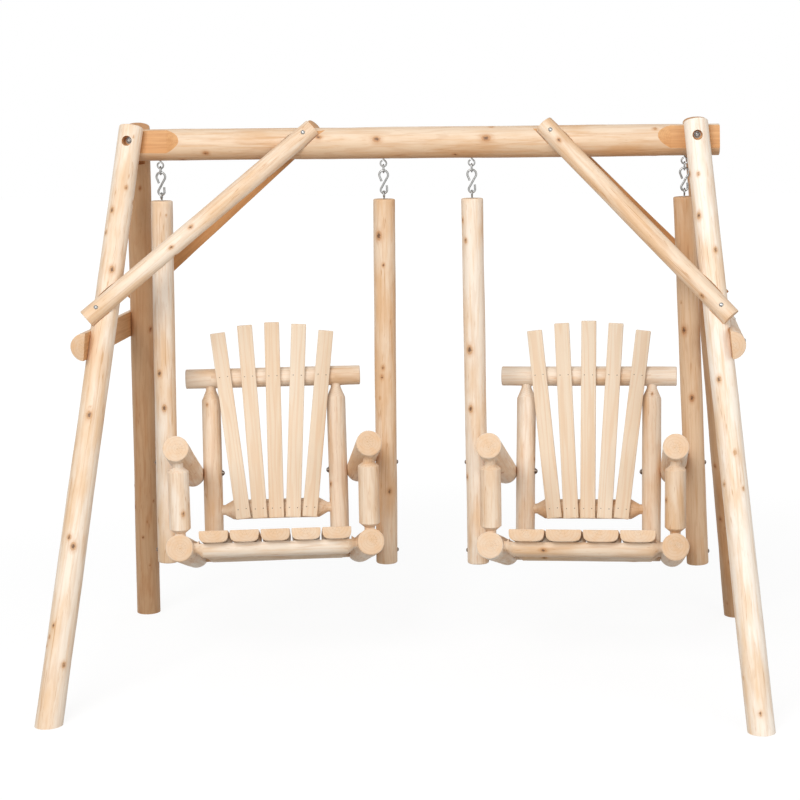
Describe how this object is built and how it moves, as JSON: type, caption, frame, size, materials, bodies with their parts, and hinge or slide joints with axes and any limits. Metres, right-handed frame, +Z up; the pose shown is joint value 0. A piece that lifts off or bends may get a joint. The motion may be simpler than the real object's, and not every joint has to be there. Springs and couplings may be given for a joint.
{
  "type": "double chair swing",
  "caption": "Rustic peeled-log A-frame whose slatted armchairs hang side by side from the beam on eyes, links and S hooks, each free to swing and tilt by itself.",
  "frame": {"origin": "on the ground under the middle of the top beam, at the centre of the rectangle that the legs' feet span", "axes": "+Z up, +X along the top beam towards the chair with four seat slats, and the sitters face -Y"},
  "size_m": [2.5462, 1.5832, 2.0496],
  "materials": {
    "peeled_log": "satin",
    "galvanised_steel": "satin"
  },
  "bodies": {
    "frame": {"top_beam": "peeled_log", "front_left_leg": "peeled_log", "front_right_leg": "peeled_log", "rear_left_leg": "peeled_log", "rear_right_leg": "peeled_log", "left_leg_bolt": "galvanised_steel", "right_leg_bolt": "galvanised_steel", "front_left_brace": "peeled_log", "front_right_brace": "peeled_log", "rear_left_brace": "peeled_log", "rear_right_brace": "peeled_log", "left_crossbar": "peeled_log", "right_crossbar": "peeled_log", "left_chair_left_beam_eye": "galvanised_steel", "left_chair_right_beam_eye": "galvanised_steel", "right_chair_left_beam_eye": "galvanised_steel", "right_chair_right_beam_eye": "galvanised_steel"},
    "left_hangers": {"left_chair_left_link": "galvanised_steel", "left_chair_right_link": "galvanised_steel", "left_chair_left_s_hook": "galvanised_steel", "left_chair_right_s_hook": "galvanised_steel"},
    "left_chair": {"left_chair_left_post_eye": "galvanised_steel", "left_chair_right_post_eye": "galvanised_steel", "left_chair_left_side_rail": "peeled_log", "left_chair_right_side_rail": "peeled_log", "left_chair_left_arm": "peeled_log", "left_chair_right_arm": "peeled_log", "left_chair_left_hanger_post": "peeled_log", "left_chair_right_hanger_post": "peeled_log", "left_chair_left_arm_post": "peeled_log", "left_chair_right_arm_post": "peeled_log", "left_chair_left_back_post": "peeled_log", "left_chair_right_back_post": "peeled_log", "left_chair_front_rail": "peeled_log", "left_chair_seat_deck": "peeled_log", "left_chair_top_rail": "peeled_log", "left_chair_back_panel": "peeled_log"},
    "right_hangers": {"right_chair_left_link": "galvanised_steel", "right_chair_right_link": "galvanised_steel", "right_chair_left_s_hook": "galvanised_steel", "right_chair_right_s_hook": "galvanised_steel"},
    "right_chair": {"right_chair_left_post_eye": "galvanised_steel", "right_chair_right_post_eye": "galvanised_steel", "right_chair_left_side_rail": "peeled_log", "right_chair_right_side_rail": "peeled_log", "right_chair_left_arm": "peeled_log", "right_chair_right_arm": "peeled_log", "right_chair_left_hanger_post": "peeled_log", "right_chair_right_hanger_post": "peeled_log", "right_chair_left_arm_post": "peeled_log", "right_chair_right_arm_post": "peeled_log", "right_chair_left_back_post": "peeled_log", "right_chair_right_back_post": "peeled_log", "right_chair_front_rail": "peeled_log", "right_chair_seat_deck": "peeled_log", "right_chair_top_rail": "peeled_log", "right_chair_back_panel": "peeled_log"}
  },
  "joints": [
    {"name": "left_swing", "type": "hinge", "parent": "frame", "child": "left_hangers", "pos_m": [-0.541, 0, 1.8793], "axis": [1, 0, 0], "range_deg": [-18, 18]},
    {"name": "left_tilt", "type": "hinge", "parent": "left_hangers", "child": "left_chair", "pos_m": [-0.541, 0, 1.7829], "axis": [1, 0, 0], "range_deg": [-8, 8]},
    {"name": "right_swing", "type": "hinge", "parent": "frame", "child": "right_hangers", "pos_m": [0.624, 0, 1.8793], "axis": [1, 0, 0], "range_deg": [-18, 18]},
    {"name": "right_tilt", "type": "hinge", "parent": "right_hangers", "child": "right_chair", "pos_m": [0.624, 0, 1.7829], "axis": [1, 0, 0], "range_deg": [-8, 8]}
  ]
}
